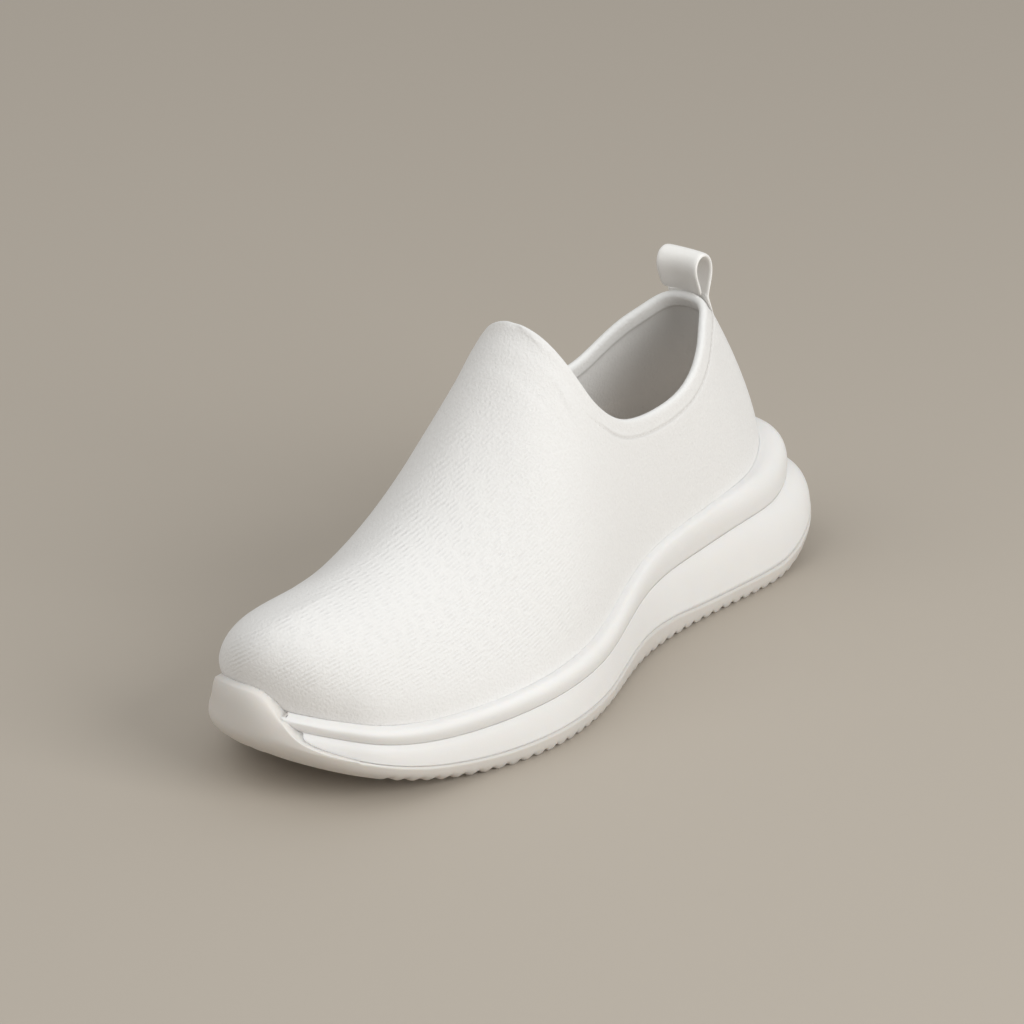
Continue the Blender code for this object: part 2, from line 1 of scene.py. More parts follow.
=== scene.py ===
"""Slip-on sneaker, left shoe: looks of the knitted upper, the foam tiers, the outsole and the loop.

Lengths are in metres. +X points to the toe, +Y to the outer side of the foot and +Z up.
"""

import logging
import math
from dataclasses import dataclass, field
from enum import Enum

import bmesh
import bpy
import numpy as np
from mathutils import Matrix, Vector, kdtree, noise
from mathutils.bvhtree import BVHTree


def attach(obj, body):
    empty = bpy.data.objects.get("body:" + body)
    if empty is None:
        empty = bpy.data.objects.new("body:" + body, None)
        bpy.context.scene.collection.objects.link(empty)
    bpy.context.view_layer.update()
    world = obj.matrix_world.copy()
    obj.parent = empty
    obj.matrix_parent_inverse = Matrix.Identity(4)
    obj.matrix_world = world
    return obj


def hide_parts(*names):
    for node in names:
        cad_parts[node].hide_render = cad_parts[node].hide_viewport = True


LOG = logging.getLogger("sneaker")
BODY = "root"
KNIT_MAP = "knit"
NO_CREASES = {"crease_angle": 181.0, "rung": 1.0}


class Layer(Enum):
    """Mesh attributes that the finishes read."""

    LINING = "lining"
    DROP = "drop"
    RIM = "rim"
    RIBS = "ribs"


class Wall(Enum):
    """The two faces of the knitted wall."""

    OUTER = 1
    INNER = -1


def rgb(red: float, green: float, blue: float) -> tuple[float, float, float, float]:
    """Return a colour with full alpha."""
    return red, green, blue, 1.0


def ease(share: float) -> float:
    """Ease a share from 0 to 1 with no slope at either end."""
    share = min(1.0, max(0.0, share))
    return share * share * (3.0 - 2.0 * share)


class Shader:
    """A material's node tree with its Principled shader."""

    def __init__(self, name: str, roughness: float) -> None:
        """Start a material.

        Args:
            name: Name of the material.
            roughness: Roughness of the whole surface.
        """
        self.material = bpy.data.materials.new(name)
        self.material.use_nodes = True
        self.tree = self.material.node_tree
        self.surface = self.tree.nodes["Principled BSDF"]
        self.set("Roughness", roughness)

    def set(self, socket: str, value: object) -> None:
        """Give one input of the Principled shader a plain value."""
        self.surface.inputs[socket].default_value = value

    def node(self, kind: str, **values: object) -> bpy.types.Node:
        """Add a node and set its plain properties.

        Args:
            kind: Blender's name of the node's type.
            **values: Properties of the node.

        Returns:
            The new node.
        """
        made = self.tree.nodes.new(kind)
        for key, value in values.items():
            setattr(made, key, value)
        return made

    def link(self, start: bpy.types.NodeSocket, end: bpy.types.NodeSocket) -> None:
        """Join two sockets."""
        self.tree.links.new(start, end)

    def put(self, value: object, socket: bpy.types.NodeSocket) -> None:
        """Link a socket to another, or give it a plain value.

        Args:
            value: A socket or a number.
            socket: The input that takes it.
        """
        if isinstance(value, bpy.types.NodeSocket):
            self.link(value, socket)
        else:
            socket.default_value = value

    def maths(self, operation: str, *values: object) -> bpy.types.NodeSocket:
        """Work out a number.

        Args:
            operation: Name of the sum.
            *values: Sockets or numbers.

        Returns:
            The socket of the result.
        """
        made = self.node("ShaderNodeMath", operation=operation)
        for value, socket in zip(values, made.inputs):
            self.put(value, socket)
        return made.outputs[0]

    def times(self, first: object, second: object) -> bpy.types.NodeSocket:
        """Multiply two numbers."""
        return self.maths("MULTIPLY", first, second)

    def place(self) -> bpy.types.NodeSocket:
        """Return the object's own coordinates."""
        return self.node("ShaderNodeTexCoord").outputs["Object"]

    def axes(self, vector: object = None) -> object:
        """Split coordinates into single numbers.

        Args:
            vector: The coordinates, or None for the object's own.

        Returns:
            The three sockets.
        """
        split = self.node("ShaderNodeSeparateXYZ")
        self.link(self.place() if vector is None else vector, split.inputs[0])
        return split.outputs

    def layer(self, layer: Layer) -> bpy.types.NodeSocket:
        """Return a number that the mesh holds at each point."""
        return self.node("ShaderNodeAttribute", attribute_name=layer.value).outputs["Fac"]

    def ramp(self, value: object, ends: tuple, results: tuple = (0.0, 1.0)) -> bpy.types.NodeSocket:
        """Return a soft step from one number to another.

        Args:
            value: The number that runs.
            ends: Where the step starts and ends.
            results: The numbers before and after it.

        Returns:
            The socket of the step.
        """
        made = self.node("ShaderNodeMapRange", interpolation_type="SMOOTHSTEP")
        for number, socket in zip((value, *ends, *results), made.inputs):
            self.put(number, socket)
        return made.outputs[0]

    def cloud(self, size: float, detail: float = 2.0) -> bpy.types.NodeSocket:
        """Return soft noise with grains of about one size.

        Args:
            size: Size of a grain.
            detail: How many finer layers it has.

        Returns:
            A socket that runs from 0 to 1.
        """
        made = self.node("ShaderNodeTexNoise")
        made.inputs["Scale"].default_value = 1.0 / size
        made.inputs["Detail"].default_value = detail
        self.link(self.place(), made.inputs["Vector"])
        return made.outputs["Fac"]

    def wave(self, value: bpy.types.NodeSocket, pitch: float) -> bpy.types.NodeSocket:
        """Return a wave of a given pitch along a length.

        Args:
            value: Length in metres.
            pitch: Distance from crest to crest.

        Returns:
            A socket that runs from -1 to 1.
        """
        return self.maths("SINE", self.times(value, 2.0 * math.pi / pitch))

    def blend(self, share: object, first: object, second: object) -> bpy.types.NodeSocket:
        """Mix two colours.

        Args:
            share: Share of the second colour.
            first: Colour or socket.
            second: Colour or socket.

        Returns:
            The socket of the mixed colour.
        """
        made = self.node("ShaderNodeMix", data_type="RGBA")
        self.put(share, made.inputs[0])
        self.put(first, made.inputs[6])
        self.put(second, made.inputs[7])
        return made.outputs[2]

    def colour(self, value: object) -> None:
        """Set the base colour."""
        self.put(value, self.surface.inputs["Base Color"])

    def bump(self, height: bpy.types.NodeSocket, depth: float, strength: float) -> None:
        """Give the surface a relief.

        Args:
            height: Height from 0 to 1.
            depth: Height of the relief in metres.
            strength: How far it shows.
        """
        made = self.node("ShaderNodeBump")
        made.inputs["Strength"].default_value = strength
        made.inputs["Distance"].default_value = depth
        self.link(height, made.inputs["Height"])
        self.link(made.outputs["Normal"], self.surface.inputs["Normal"])

    def glow(self, weight: float, radius: tuple) -> None:
        """Let light travel a little way under the surface.

        Args:
            weight: Share of that light.
            radius: How far red, green and blue travel.
        """
        self.set("Subsurface Weight", weight)
        self.set("Subsurface Radius", radius)
        self.set("Subsurface Scale", 1.0)


@dataclass(frozen=True)
class KnitFinish:
    """Fine ribbed knit with a seam below the rim and a lining inside, with painted shade in the rib
    hollows and along the seam line, a painted highlight along the rim, and painted light that brightens
    the lining deeper inside.
    """

    name: str = "ribbed_knit"
    # The knit's colour, and the same knit with painted shade, mixed in the rib hollows.
    light: tuple = rgb(0.86, 0.85, 0.84)
    shade: tuple = rgb(0.75, 0.73, 0.71)
    # Painted highlight: a lighter colour along the collar's rim.
    rim_highlight: tuple = rgb(0.85, 0.845, 0.835)
    # Painted shade for the seam line's groove, outside and on the lining.
    seam: tuple = rgb(0.56, 0.53, 0.50)
    # The lining and the facing just inside the rim; the lining is the lining's colour made lighter than
    # the knit outside, painted light that lifts the shade deep in the opening.
    lining: tuple = rgb(0.97, 0.935, 0.895)
    facing: tuple = rgb(0.82, 0.805, 0.785)
    lining_light_depths: tuple = (0.008, 0.045)
    roughness: float = 0.86
    rib_pitch: float = 0.0014
    rib_share: float = 0.5
    dash: float = 0.0062
    dash_share: float = 0.45
    wobble: float = 0.0007
    wobble_size: float = 0.006
    grain: float = 0.0010
    grain_share: float = 1.2
    relief: float = 0.00020
    relief_strength: float = 0.9
    # Share of painted shade laid into the rib hollows, where the knit's relief is low.
    hollow_shade_share: float = 0.45
    rim_highlight_width: float = 0.0007
    seam_drop: float = 0.0062
    seam_width: float = 0.00060
    seam_ends: tuple = (0.072, 0.090)
    seam_depth: float = 1.6
    seam_shade_share: float = 0.36
    sheen: float = 0.12
    sheen_roughness: float = 0.6
    gloss: float = 0.25

    def band(self, shader: Shader, drop: object, centre: float, width: float) -> bpy.types.NodeSocket:
        """Return a soft line at one distance below the rim.

        Args:
            shader: The material being built.
            drop: Distance below the rim.
            centre: Where the line runs.
            width: Half its width.

        Returns:
            A socket that is 1 on the line and 0 away from it.
        """
        off = shader.maths("DIVIDE", shader.maths("SUBTRACT", drop, centre), width)
        return shader.maths("EXPONENT", shader.times(shader.times(off, off), -1.0))

    def weave(self, shader: Shader) -> bpy.types.NodeSocket:
        """Return the height of the broken ribs.

        Args:
            shader: The material being built.

        Returns:
            A socket that runs from -1 to 1.
        """
        place = shader.node("ShaderNodeUVMap", uv_map=KNIT_MAP).outputs[0]
        cloud = shader.node("ShaderNodeTexNoise")
        cloud.inputs["Scale"].default_value = 1.0 / self.wobble_size
        shader.link(place, cloud.inputs["Vector"])
        wobble = shader.node("ShaderNodeMix", data_type="VECTOR")
        wobble.inputs[0].default_value = self.wobble
        shader.link(place, wobble.inputs[4])
        shader.link(cloud.outputs["Color"], wobble.inputs[5])
        across, along, _ = shader.axes(wobble.outputs[1])
        scatter = shader.node("ShaderNodeTexWhiteNoise", noise_dimensions="1D")
        count = shader.maths("FLOOR", shader.maths("DIVIDE", across, self.rib_pitch))
        shader.link(count, scatter.inputs["W"])
        shift = shader.times(scatter.outputs["Value"], self.dash)
        dash = shader.wave(shader.maths("ADD", along, shift), self.dash)
        broken = shader.maths("ADD", shader.times(dash, self.dash_share), 1.0 - self.dash_share)
        return shader.times(broken, shader.wave(across, self.rib_pitch))

    def make(self) -> bpy.types.Material:
        """Build the material.

        Returns:
            The material.
        """
        shader = Shader(self.name, self.roughness)
        weave = shader.times(self.weave(shader), shader.layer(Layer.RIBS))
        grain = shader.maths("SUBTRACT", shader.cloud(self.grain, 1.0), 0.5)
        ribs = shader.times(weave, self.rib_share)
        height = shader.maths("ADD", ribs, shader.times(grain, self.grain_share))
        drop = shader.layer(Layer.DROP)
        fade = shader.ramp(shader.axes()[0], self.seam_ends, (1.0, 0.0))
        seam = shader.times(self.band(shader, drop, self.seam_drop, self.seam_width), fade)
        sunk = shader.maths("SUBTRACT", height, shader.times(seam, self.seam_depth))
        shader.bump(sunk, self.relief, self.relief_strength)
        # Painted shade: the colour darkens where the relief is low, in the rib hollows, and varies with
        # the random grain.
        hollow_shade = shader.times(shader.maths("SUBTRACT", 0.5, height), self.hollow_shade_share)
        cloth = shader.blend(hollow_shade, self.light, self.shade)
        # Painted highlight in a narrow band just below the rim.
        cloth = shader.blend(self.band(shader, drop, 0.0, self.rim_highlight_width), cloth, self.rim_highlight)
        # Painted shade along the seam's groove, on the outside and on the lining.
        seam_shade = shader.times(seam, self.seam_shade_share)
        cloth = shader.blend(seam_shade, cloth, self.seam)
        # Painted light: the inside's colour brightens from the facing below the rim to the deep lining,
        # lifting the shade deeper in the opening.
        inside = shader.blend(shader.ramp(drop, self.lining_light_depths), self.facing, self.lining)
        inside = shader.blend(seam_shade, inside, self.seam)
        shader.colour(shader.blend(shader.layer(Layer.LINING), cloth, inside))
        shader.set("Sheen Weight", self.sheen)
        shader.set("Sheen Roughness", self.sheen_roughness)
        shader.set("Specular IOR Level", self.gloss)
        return shader.material


@dataclass(frozen=True)
class FoamFinish:
    """Smooth moulded foam with a very fine grain."""

    name: str
    light: tuple = rgb(0.86, 0.85, 0.84)
    shade: tuple = rgb(0.82, 0.80, 0.78)
    roughness: float = 0.55
    patch: float = 0.03
    grain: float = 0.0007
    relief: float = 0.00005
    relief_strength: float = 0.5
    glow: float = 0.15
    glow_radius: tuple = (0.004, 0.003, 0.002)
    gloss: float = 0.35

    def make(self) -> bpy.types.Material:
        """Build the material.

        Returns:
            The material.
        """
        shader = Shader(self.name, self.roughness)
        shader.colour(shader.blend(shader.cloud(self.patch), self.light, self.shade))
        shader.bump(shader.cloud(self.grain, 3.0), self.relief, self.relief_strength)
        shader.glow(self.glow, self.glow_radius)
        shader.set("Specular IOR Level", self.gloss)
        return shader.material


@dataclass(frozen=True)
class RubberFinish:
    """Cloudy pale rubber, even in colour on the toe guard, whose colour carries a warm painted floor
    bounce.
    """

    name: str = "pale_rubber"
    light: tuple = rgb(0.76, 0.735, 0.70)
    shade: tuple = rgb(0.66, 0.625, 0.59)
    # Toe guard colour: even pale rubber with a warm tint that is painted floor bounce.
    guard_floor_bounce: tuple = rgb(0.765, 0.73, 0.695)
    guard_ends: tuple = (0.150, 0.222)
    roughness: float = 0.42
    patch: float = 0.012
    patch_share: float = 0.5
    grain: float = 0.0009
    relief: float = 0.00004
    relief_strength: float = 0.6
    glow: float = 0.25
    glow_radius: tuple = (0.005, 0.0035, 0.0025)

    def make(self) -> bpy.types.Material:
        """Build the material.

        Returns:
            The material.
        """
        shader = Shader(self.name, self.roughness)
        share = shader.times(shader.cloud(self.patch, 3.0), self.patch_share)
        pale = shader.blend(share, self.shade, self.light)
        # Towards the toe the cloudy rubber gives way to the guard's even colour with its painted floor
        # bounce.
        ahead = shader.ramp(shader.axes()[0], self.guard_ends)
        shader.colour(shader.blend(ahead, pale, self.guard_floor_bounce))
        shader.bump(shader.cloud(self.grain), self.relief, self.relief_strength)
        shader.glow(self.glow, self.glow_radius)
        return shader.material


@dataclass(frozen=True)
class WebbingFinish:
    """Flat woven tape, with fine cross threads."""

    name: str = "webbing"
    light: tuple = rgb(0.95, 0.935, 0.915)
    shade: tuple = rgb(0.88, 0.855, 0.825)
    roughness: float = 0.85
    thread: float = 0.0007
    thread_length: float = 1.4
    relief: float = 0.00010
    relief_strength: float = 0.7
    patch: float = 0.004
    patch_share: float = 0.5
    sheen: float = 0.1

    def make(self) -> bpy.types.Material:
        """Build the material.

        Returns:
            The material.
        """
        shader = Shader(self.name, self.roughness)
        _, across, along = shader.axes()
        across = shader.wave(across, self.thread)
        along = shader.wave(along, self.thread * self.thread_length)
        height = shader.maths("ADD", shader.times(shader.times(across, along), 0.5), 0.5)
        shader.bump(height, self.relief, self.relief_strength)
        share = shader.times(shader.cloud(self.patch), self.patch_share)
        shader.colour(shader.blend(share, self.light, self.shade))
        shader.set("Sheen Weight", self.sheen)
        return shader.material


@dataclass(frozen=True)
class ClothFinish:
    """Plain cloth or thread."""

    name: str
    light: tuple
    shade: tuple
    roughness: float = 0.92
    grain: float = 0.0008
    relief: float = 0.00010
    relief_strength: float = 0.8

    def make(self) -> bpy.types.Material:
        """Build the material.

        Returns:
            The material.
        """
        shader = Shader(self.name, self.roughness)
        grain = shader.cloud(self.grain)
        shader.colour(shader.blend(grain, self.light, self.shade))
        shader.bump(grain, self.relief, self.relief_strength)
        return shader.material


def surface_of(piece: bpy.types.Object) -> BVHTree:
    """Make a search tree of a finished piece's faces.

    Args:
        piece: The piece.

    Returns:
        The tree.
    """
    build = bmesh.new()
    build.from_mesh(piece.data)
    tree = BVHTree.FromBMesh(build)
    build.free()
    return tree


@dataclass
class Smoothed:
    """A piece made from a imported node: its faces are joined to quads, smoothed and dressed."""

    node: str
    finish: object
    levels: int = 2
    crease_angle: float = 60.0
    rung: float = 0.020
    merge: float = 0.00002
    join_angle: float = 60.0
    swell_from: tuple = (0.185, 0.0, 0.0)
    swell_way: tuple = (0.6, -0.8, 0.0)
    swell_start: float = 0.010
    swell_run: float = 0.026
    swell_feet: tuple = (0.028, 0.054)
    swell_rises: tuple = (0.016, 0.026)
    swell_most: float = 0.0030

    def copy(self) -> bmesh.types.BMesh:
        """Copy the node's mesh, merged and with its triangles joined.

        Returns:
            The mesh, with creases along its hard edges.
        """
        build = bmesh.new()
        build.from_mesh(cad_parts[self.node].data)
        for layer in list(build.loops.layers.uv):
            build.loops.layers.uv.remove(layer)
        bmesh.ops.remove_doubles(build, verts=build.verts, dist=self.merge)
        bmesh.ops.join_triangles(
            build,
            faces=build.faces,
            cmp_seam=False,
            cmp_sharp=False,
            angle_face_threshold=math.radians(self.join_angle),
            angle_shape_threshold=math.radians(180.0),
            topology_influence=1.0,
        )
        self.crease(build)
        return build

    def crease(self, build: bmesh.types.BMesh) -> None:
        """Mark the edges that stay hard when the mesh is smoothed.

        Args:
            build: The mesh.
        """
        layer = build.edges.layers.float.get("crease_edge") or build.edges.layers.float.new("crease_edge")
        wide = {face: max(edge.calc_length() for edge in face.edges) > self.rung for face in build.faces}
        for edge in build.edges:
            if len(edge.link_faces) != 2:
                continue
            first, second = edge.link_faces
            corner = math.degrees(edge.calc_face_angle(0.0)) > self.crease_angle
            if corner or wide[first] != wide[second]:
                edge[layer] = 1.0

    def swell(self, point: Vector) -> Vector:
        """Return how far the front of the toe box is filled out at a point.

        Args:
            point: The point.

        Returns:
            The move.
        """
        out = Vector(self.swell_way)
        ahead = ease(((point - Vector(self.swell_from)).dot(out) - self.swell_start) / self.swell_run)
        rise, fall = (ease((point.z - foot) / run) for foot, run in zip(self.swell_feet, self.swell_rises))
        return out * (self.swell_most * ahead * rise * (1.0 - fall))

    def smoothed(self, build: bmesh.types.BMesh) -> bpy.types.Mesh:
        """Smooth a mesh by subdivision.

        Args:
            build: The coarse mesh. It is freed.

        Returns:
            The fine mesh.
        """
        mesh = bpy.data.meshes.new(self.label())
        build.to_mesh(mesh)
        build.free()
        rough = bpy.data.objects.new("rough", mesh)
        bpy.context.scene.collection.objects.link(rough)
        smooth = rough.modifiers.new("smooth", "SUBSURF")
        smooth.levels = smooth.render_levels = self.levels
        graph = bpy.context.evaluated_depsgraph_get()
        fine = bpy.data.meshes.new_from_object(rough.evaluated_get(graph))
        bpy.data.objects.remove(rough, do_unlink=True)
        fine.name = self.label()
        return fine

    def label(self) -> str:
        """Return the piece's name."""
        return self.node + "_dressed"

    def shape(self, fine: bpy.types.Mesh) -> None:
        """Add the piece's own relief to the fine mesh."""

    def make(self) -> bpy.types.Object:
        """Build and dress the piece.

        Returns:
            The finished object.
        """
        fine = self.smoothed(self.copy())
        for v in fine.vertices:
            v.co += self.swell(v.co)
        self.shape(fine)
        fine.materials.clear()
        fine.materials.append(self.finish.make())
        return dress(self.label(), fine, self.node, True)


@dataclass
class Snug(Smoothed):
    """A piece that is drawn up to the finished pieces that it holds."""

    holds: tuple = ()
    near: float = 0.0013
    reach: float = 0.0030
    contact: float = 0.00005
    beds: tuple = ()
    sink: float = 0.0045
    sink_ends: tuple = (0.0, 0.165)
    facing_from: float = 0.05
    facing_run: float = 0.6

    def settle(self, build: bmesh.types.BMesh) -> None:
        """Let the inner face down onto the beds and into the grooves between them.

        Args:
            build: The piece as a bmesh.
        """
        trees = [surface_of(bed) for bed in self.beds]
        build.normal_update()
        moves = []
        for v in build.verts:
            middle = min(max(v.co.x, self.sink_ends[0]), self.sink_ends[1])
            inward = Vector((middle - v.co.x, -v.co.y, 0.0)).normalized()
            facing = ease((v.normal.dot(inward) - self.facing_from) / self.facing_run)
            if facing == 0.0:
                continue
            start = v.co - inward * self.contact
            hits = [tree.ray_cast(start, inward, self.sink)[3] for tree in trees]
            depth = min((hit for hit in hits if hit is not None), default=0.0)
            moves.append((v, inward * max(0.0, depth - 2.0 * self.contact) * facing))
        for v, move in moves:
            v.co += move

    def shape(self, fine: bpy.types.Mesh) -> None:
        """Close the gap to the held pieces down to a hair.

        Args:
            fine: The fine mesh.
        """
        build = bmesh.new()
        build.from_mesh(fine)
        if self.beds:
            self.settle(build)
        for held in self.holds:
            tree = surface_of(held)
            for v in build.verts:
                spot, out, _, gap = tree.find_nearest(v.co, self.reach)
                if spot is None:
                    continue
                if (v.co - spot).dot(out) < 0.0:
                    v.co = spot + out * self.contact
                    continue
                share = ease((gap - self.near) / (self.reach - self.near))
                wanted = self.contact + (self.reach - self.contact) * share
                v.co = spot + (v.co - spot).normalized() * min(gap, wanted)
        build.to_mesh(fine)
        build.free()


def dress(name: str, mesh: bpy.types.Mesh, slot: str, stands_for: bool) -> bpy.types.Object:
    """Put a finished mesh in the scene and tie it to the frame.

    Args:
        name: Name of the piece.
        mesh: Its mesh, in place.
        slot: Name of the imported node, which is hidden when the piece replaces it.
        stands_for: Whether the piece replaces that node.

    Returns:
        The new object.
    """
    for polygon in mesh.polygons:
        polygon.use_smooth = True
    made = bpy.data.objects.new(name, mesh)
    bpy.context.scene.collection.objects.link(made)
    if stands_for:
        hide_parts(slot)
    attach(made, BODY)
    LOG.info("%s: %d faces", name, len(mesh.polygons))
    return made


@dataclass
class Upper(Smoothed):
    """The knitted upper, with its lining, seam line and soft creases."""

    centre_line: tuple = (
        (-0.015, 0.0, 0.075),
        (0.060, 0.0, 0.062),
        (0.150, 0.0, 0.045),
        (0.185, 0.0, 0.042),
    )
    lining_from: float = 0.0004
    lining_run: float = 0.0012
    rim_search: float = 0.06
    rim_angle: float = 70.0
    rim_above: float = 0.075
    rim_wide: float = 0.0024
    rim_steps: int = 8
    band_ends: tuple = (0.076, 0.094)
    band_step: float = 0.0005
    band_drop: float = 0.0075
    band_edge: float = 0.0008
    band_fade: float = 0.012
    calm_from: float = 0.0007
    calm_to: float = 0.018
    calm_step: float = 0.0002
    calm_rounds: int = 16
    climb: float = 0.6
    climb_from: float = 0.190
    climb_run: float = 0.100
    rib_normal: tuple = (0.0, -0.585, 0.811)
    rib_slant: float = 0.3
    rib_least: float = 0.05
    rib_most: float = 0.80
    rib_front: tuple = (0.085, 0.065)
    rib_side: tuple = (-0.030, 0.022)
    rib_foot: tuple = (0.030, 0.010)
    rib_lift: tuple = (0.170, 0.15)
    rib_turn: float = 0.20
    fold_place: float = 0.128
    fold_width: float = 0.030
    fold_waves: tuple = (42.0, 16.0, 26.0)
    fold_height: float = 0.00035
    rim: list = field(default_factory=list)

    def copy(self) -> bmesh.types.BMesh:
        """Copy the node's mesh and mark its rim.

        Returns:
            The mesh, with creases along its hard edges.
        """
        build = super().copy()
        self.mark_rim(build)
        return build

    def inside(self, point: Vector, normal: Vector) -> bool:
        """Tell whether a point lies on the wall's inner face.

        Args:
            point: The point.
            normal: The surface's direction there.

        Returns:
            True where the surface looks towards the foot.
        """
        line = [Vector(p) for p in self.centre_line]
        best, away = None, 1.0
        for start, end in zip(line, line[1:]):
            way = end - start
            share = min(1.0, max(0.0, (point - start).dot(way) / way.length_squared))
            near = start + way * share
            if (point - near).length < away:
                best, away = near, (point - near).length
        return normal.dot(point - best) < 0.0

    def mark_rim(self, build: bmesh.types.BMesh) -> None:
        """Mark the faces of the collar's rim by their corners.

        Args:
            build: The upper's mesh.
        """
        build.normal_update()
        layer = build.verts.layers.float.new(Layer.RIM.value)
        for face in build.faces:
            joined = [edge for edge in face.edges if len(edge.link_faces) == 2]
            sharp = [e for e in joined if math.degrees(e.calc_face_angle(0.0)) > self.rim_angle]
            length = sum(edge.calc_length() for edge in sharp)
            low = face.calc_center_median().z < self.rim_above
            if low or len(sharp) < 2 or len(face.verts) != 4:
                continue
            if face.calc_area() * 2.0 / length < self.rim_wide:
                continue
            for v in face.verts:
                v[layer] = 1.0

    def find_rim(self, build: bmesh.types.BMesh) -> list[Vector]:
        """Find the collar's rim on the smoothed mesh.

        Args:
            build: The smoothed mesh.

        Returns:
            Closely spaced points all over the rim.
        """
        layer = build.verts.layers.float[Layer.RIM.value]
        points = []
        for edge in build.edges:
            first, second = edge.verts
            if min(first[layer], second[layer]) > 0.999:
                shares = [step / self.rim_steps for step in range(self.rim_steps)]
                points += [first.co.lerp(second.co, share) for share in shares]
        build.verts.layers.float.remove(layer)
        return points

    def rim_tree(self) -> kdtree.KDTree:
        """Make a search tree of the rim's points.

        Returns:
            The tree.
        """
        tree = kdtree.KDTree(len(self.rim))
        for index, point in enumerate(self.rim):
            tree.insert(point, index)
        tree.balance()
        return tree

    def shape(self, fine: bpy.types.Mesh) -> None:
        """Write the attributes and the knit's map, add soft creases and smooth the band away at the front.

        Args:
            fine: The fine mesh.
        """
        build = bmesh.new()
        build.from_mesh(fine)
        build.normal_update()
        self.rim = self.find_rim(build)
        tree = self.rim_tree()
        lining = build.verts.layers.float.new(Layer.LINING.value)
        ribs = build.verts.layers.float.new(Layer.RIBS.value)
        below = build.verts.layers.float.new(Layer.DROP.value)
        moves = []
        front = []
        for v in build.verts:
            drop = tree.find(v.co)[2] if v.co.z > self.rim_search else 1.0
            v[below] = drop
            if self.inside(v.co, v.normal):
                v[lining] = ease((drop - self.lining_from) / self.lining_run)
                v[ribs] = self.rib_least
                continue
            if v.co.x > self.band_ends[0] and drop < self.calm_to:
                front.append((drop, v))
            v[ribs] = self.rib_strength(v.co, v.normal)
            push = self.crease_height(v.co) + self.band_filler(v.co, drop)
            moves.append((v, v.normal * push))
        for v, move in moves:
            v.co += move
        self.calm(build, front)
        uv = build.loops.layers.uv.new(KNIT_MAP)
        for face in build.faces:
            for loop in face.loops:
                loop[uv].uv = self.knit_place(loop.vert.co)
        build.to_mesh(fine)
        build.free()

    def calm(self, build: bmesh.types.BMesh, front: list) -> None:
        """Smooth the outside at the front of the collar, less and less towards the rim.

        Args:
            build: The upper's mesh.
            front: Distance below the rim and vertex, of each place to smooth.
        """
        for turn in range(self.calm_rounds):
            low = self.calm_from + turn * self.calm_step
            bmesh.ops.smooth_vert(
                build,
                verts=[v for drop, v in front if drop > low],
                factor=0.5,
                use_axis_x=True,
                use_axis_y=True,
                use_axis_z=True,
            )

    def knit_place(self, point: Vector) -> tuple[float, float]:
        """Return a point's place in the knit, whose ribs climb more steeply towards the collar.

        Args:
            point: The point.

        Returns:
            Place across the ribs and place along them, in metres.
        """
        behind = max(0.0, self.climb_from - point.x)
        bend = min(behind, self.climb_run)
        climb = self.climb * (bend * bend / (2.0 * self.climb_run) + behind - bend)
        tilt = Vector(self.rib_normal)
        return tilt.z * (point.z - climb) + tilt.y * point.y, point.x + self.rib_slant * point.y

    def rib_strength(self, point: Vector, normal: Vector) -> float:
        """Return how plainly the ribs show at a point of the outside.

        Args:
            point: The point.
            normal: The surface's direction there.

        Returns:
            A share from 0 to 1.
        """
        lift_from, lift = self.rib_lift
        height = point.z - lift * max(0.0, point.x - lift_from)
        steps = ((point.x, self.rib_front), (point.y, self.rib_side), (height, self.rib_foot))
        front, outer, foot = (ease((value - start) / run) for value, (start, run) in steps)
        across = ease((1.0 - abs(normal.dot(Vector(self.rib_normal)))) / self.rib_turn)
        return self.rib_least + self.rib_most * front * outer * foot * across

    def band_filler(self, point: Vector, drop: float) -> float:
        """Return how far the outside is filled out below the band, which fades at the front.

        Args:
            point: The point.
            drop: Its distance below the rim.

        Returns:
            How far the surface moves out.
        """
        start, end = self.band_ends
        front = ease((point.x - start) / (end - start))
        past = ease((drop - self.band_drop + self.band_edge) / self.band_edge)
        past *= 1.0 - ease((drop - self.band_drop) / self.band_fade)
        return self.band_step * front * past

    def crease_height(self, point: Vector) -> float:
        """Return the height of the soft folds of the knit at a point of the outside.

        Args:
            point: The point.

        Returns:
            How far the surface stands out.
        """
        flex = math.exp(-(((point.x - self.fold_place) / self.fold_width) ** 2))
        slow = noise.noise(point * Vector(self.fold_waves))
        return self.fold_height * flex * slow


@dataclass
class PullLoop(Smoothed):
    """The heel loop: its tail lies down thin on the heel, and its front settles onto the rim."""

    upper: Upper = None
    dressed: bpy.types.Object = None
    tail_reach: float = 0.0035
    tail_length: float = 0.010
    tail_thin: float = 0.22
    contact: float = 0.00006
    seat: float = 0.0003
    settle: float = 0.0017
    settle_from: float = 0.0020
    settle_run: float = 0.0065
    behind: float = 0.0020
    behind_run: float = 0.0020

    def shape(self, fine: bpy.types.Mesh) -> None:
        """Taper the tail and lower the front end.

        Args:
            fine: The fine mesh.
        """
        heel = surface_of(self.dressed)
        rim = self.upper.rim_tree()
        bottom = min(v.co.z for v in fine.vertices)
        for v in fine.vertices:
            near = rim.find(v.co)[0]
            rise = v.co.z - near.z
            if rise > 0.0:
                front = 1.0 - ease((near.x - v.co.x - self.behind) / self.behind_run)
                low = 1.0 - ease((rise - self.settle_from) / self.settle_run)
                lowest = min(v.co.z, near.z + self.seat)
                v.co.z = max(v.co.z - self.settle * front * low, lowest)
            spot, out, _, gap = heel.find_nearest(v.co, self.tail_reach)
            up = (v.co.z - bottom) / self.tail_length
            if spot is None or up > 1.0:
                continue
            share = self.tail_thin + (1.0 - self.tail_thin) * ease(up)
            v.co = spot + out * (self.contact + max(0.0, gap - self.contact) * share)


